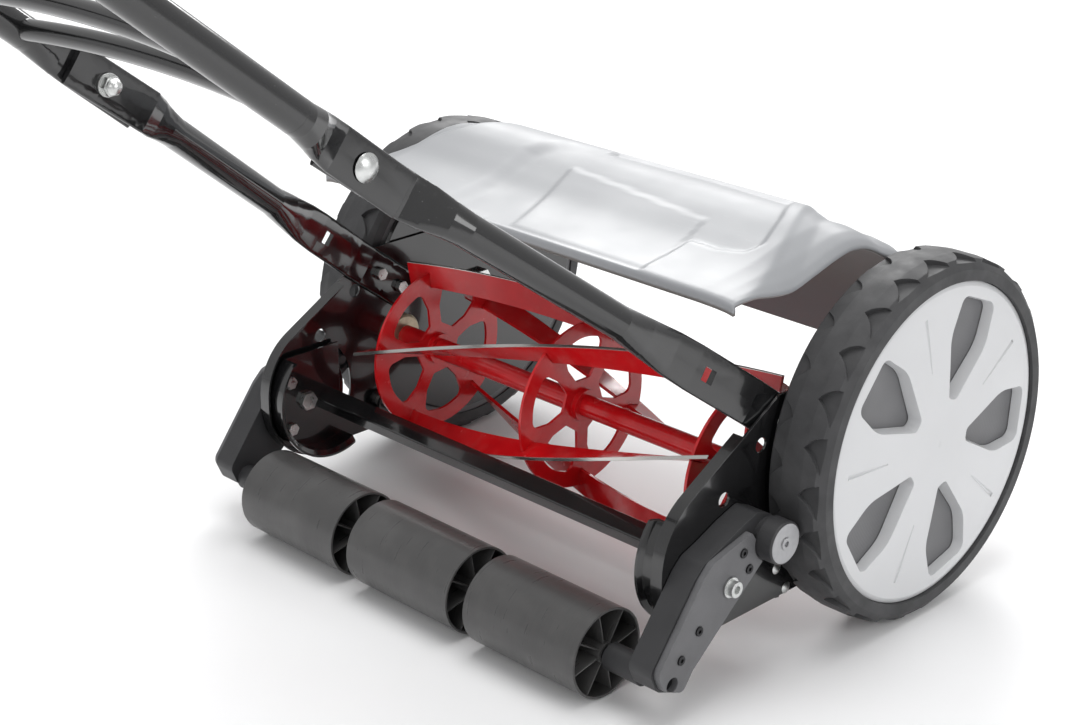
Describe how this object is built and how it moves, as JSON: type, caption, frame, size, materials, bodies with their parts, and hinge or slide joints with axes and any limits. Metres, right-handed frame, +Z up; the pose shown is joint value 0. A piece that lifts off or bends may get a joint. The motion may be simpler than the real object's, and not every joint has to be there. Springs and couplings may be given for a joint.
{
  "type": "reel mower",
  "caption": "Push reel mower: geared wheels spin a helical cutting reel past a fixed bottom blade, with a height-adjustable rear roller, clipping hood and loop handle.",
  "frame": {"origin": "on the ground, under the middle of the whole mower's length and width", "axes": "+X to the mower's right side, +Y forwards (the way it cuts), +Z up"},
  "size_m": [0.582, 1.3314, 1.027],
  "materials": {
    "tyre": "matt moulded rubber",
    "wheel_plastic": "moulded",
    "white_plastic": "satin moulded",
    "zinc_steel": "zinc plated",
    "bare_steel": "ground",
    "brushed_cap": "brushed",
    "red_paint": "gloss paint",
    "bearing_bronze": "sintered",
    "black_paint": "satin powder coat",
    "black_plastic": "moulded",
    "grey_plastic": "satin moulded",
    "black_steel": "black oxide",
    "roller_plastic": "moulded",
    "handle_paint": "gloss powder coat",
    "foam": "closed-cell foam",
    "hood_plastic": "satin moulded"
  },
  "bodies": {
    "frame": {"side_plate_l": "black_paint", "side_plate_r": "black_paint", "rear_bracket_l": "black_paint", "rear_bracket_r": "black_paint", "wheel_axle_l": "zinc_steel", "wheel_axle_r": "zinc_steel", "gear_guard_l": "black_paint", "gear_guard_r": "black_paint", "handle_tube_l": "handle_paint", "handle_tube_r": "handle_paint", "rear_tie_bar": "black_paint", "bedknife_bar": "black_paint", "bedknife": "bare_steel", "bedknife_screws": "zinc_steel", "bedknife_adjusters": "zinc_steel", "axle_clips": "bare_steel", "reel_bearings": "bearing_bronze", "plate_bolts": "zinc_steel", "handle_upper": "handle_paint", "handle_grip": "foam", "cross_brace_lower": "handle_paint", "cross_brace_upper": "handle_paint", "handle_bolts": "zinc_steel", "handle_nuts": "zinc_steel", "hood": "hood_plastic", "hood_brackets": "black_paint", "arm_pivot_bolts": "zinc_steel"},
    "reel": {"reel_shaft": "red_paint", "reel_spider_left": "red_paint", "reel_spider_middle": "red_paint", "reel_spider_right": "red_paint", "ratchet_pawls": "bare_steel", "reel_blade_1": "red_paint", "reel_blade_2": "red_paint", "reel_blade_3": "red_paint", "reel_blade_4": "red_paint", "reel_blade_5": "red_paint", "drive_pinion_l": "bare_steel", "drive_pinion_r": "bare_steel"},
    "wheel_left": {"wheel_tyre_l": "tyre", "wheel_body_l": "wheel_plastic", "wheel_cover_l": "white_plastic"},
    "wheel_right": {"wheel_tyre_r": "tyre", "wheel_body_r": "wheel_plastic", "wheel_cover_r": "white_plastic"},
    "roller_frame": {"roller_arm_l": "black_plastic", "roller_arm_r": "black_plastic", "arm_cover_l": "grey_plastic", "arm_cover_r": "grey_plastic", "knob_spring_l": "bare_steel", "knob_spring_r": "bare_steel", "arm_screws": "black_steel", "roller_axle": "black_paint"},
    "roller_left_drum": {"roller_left": "roller_plastic"},
    "roller_middle_drum": {"roller_middle": "roller_plastic"},
    "roller_right_drum": {"roller_right": "roller_plastic"},
    "knob_left": {"height_knob_l": "black_plastic", "knob_cap_l": "brushed_cap"},
    "knob_right": {"height_knob_r": "black_plastic", "knob_cap_r": "brushed_cap"}
  },
  "joints": [
    {"name": "reel_spin", "type": "hinge", "parent": "frame", "child": "reel", "pos_m": [0, 0.41617, 0.1254], "axis": [-1, 0, 0], "continuous": true},
    {"name": "wheel_left_spin", "type": "hinge", "parent": "frame", "child": "wheel_left", "pos_m": [-0.263, 0.51517, 0.15], "axis": [-1, 0, 0], "continuous": true},
    {"name": "wheel_right_spin", "type": "hinge", "parent": "frame", "child": "wheel_right", "pos_m": [0.263, 0.51517, 0.15], "axis": [-1, 0, 0], "continuous": true},
    {"name": "height_adjust", "type": "hinge", "parent": "frame", "child": "roller_frame", "pos_m": [0, 0.30127, 0.0942], "axis": [1, 0, 0], "range_deg": [-43.4, 21.7]},
    {"name": "roller_left_spin", "type": "hinge", "parent": "roller_frame", "child": "roller_left_drum", "pos_m": [-0.1377, 0.24017, 0.0366], "axis": [-1, 0, 0], "continuous": true},
    {"name": "roller_middle_spin", "type": "hinge", "parent": "roller_frame", "child": "roller_middle_drum", "pos_m": [0, 0.24017, 0.0366], "axis": [-1, 0, 0], "continuous": true},
    {"name": "roller_right_spin", "type": "hinge", "parent": "roller_frame", "child": "roller_right_drum", "pos_m": [0.1377, 0.24017, 0.0366], "axis": [-1, 0, 0], "continuous": true},
    {"name": "knob_left_pull", "type": "slide", "parent": "roller_frame", "child": "knob_left", "axis": [-1, 0, 0], "range_m": [0, 0.007], "stiffness_N_per_m": 900, "springref_m": -0.004, "deforming": ["knob_spring_l"]},
    {"name": "knob_right_pull", "type": "slide", "parent": "roller_frame", "child": "knob_right", "axis": [1, 0, 0], "range_m": [0, 0.007], "stiffness_N_per_m": 900, "springref_m": -0.004, "deforming": ["knob_spring_r"]}
  ],
  "couplings": [
    {"joint": "wheel_left_spin", "follows": "reel_spin", "ratio": 0.15},
    {"joint": "wheel_right_spin", "follows": "reel_spin", "ratio": 0.15}
  ]
}
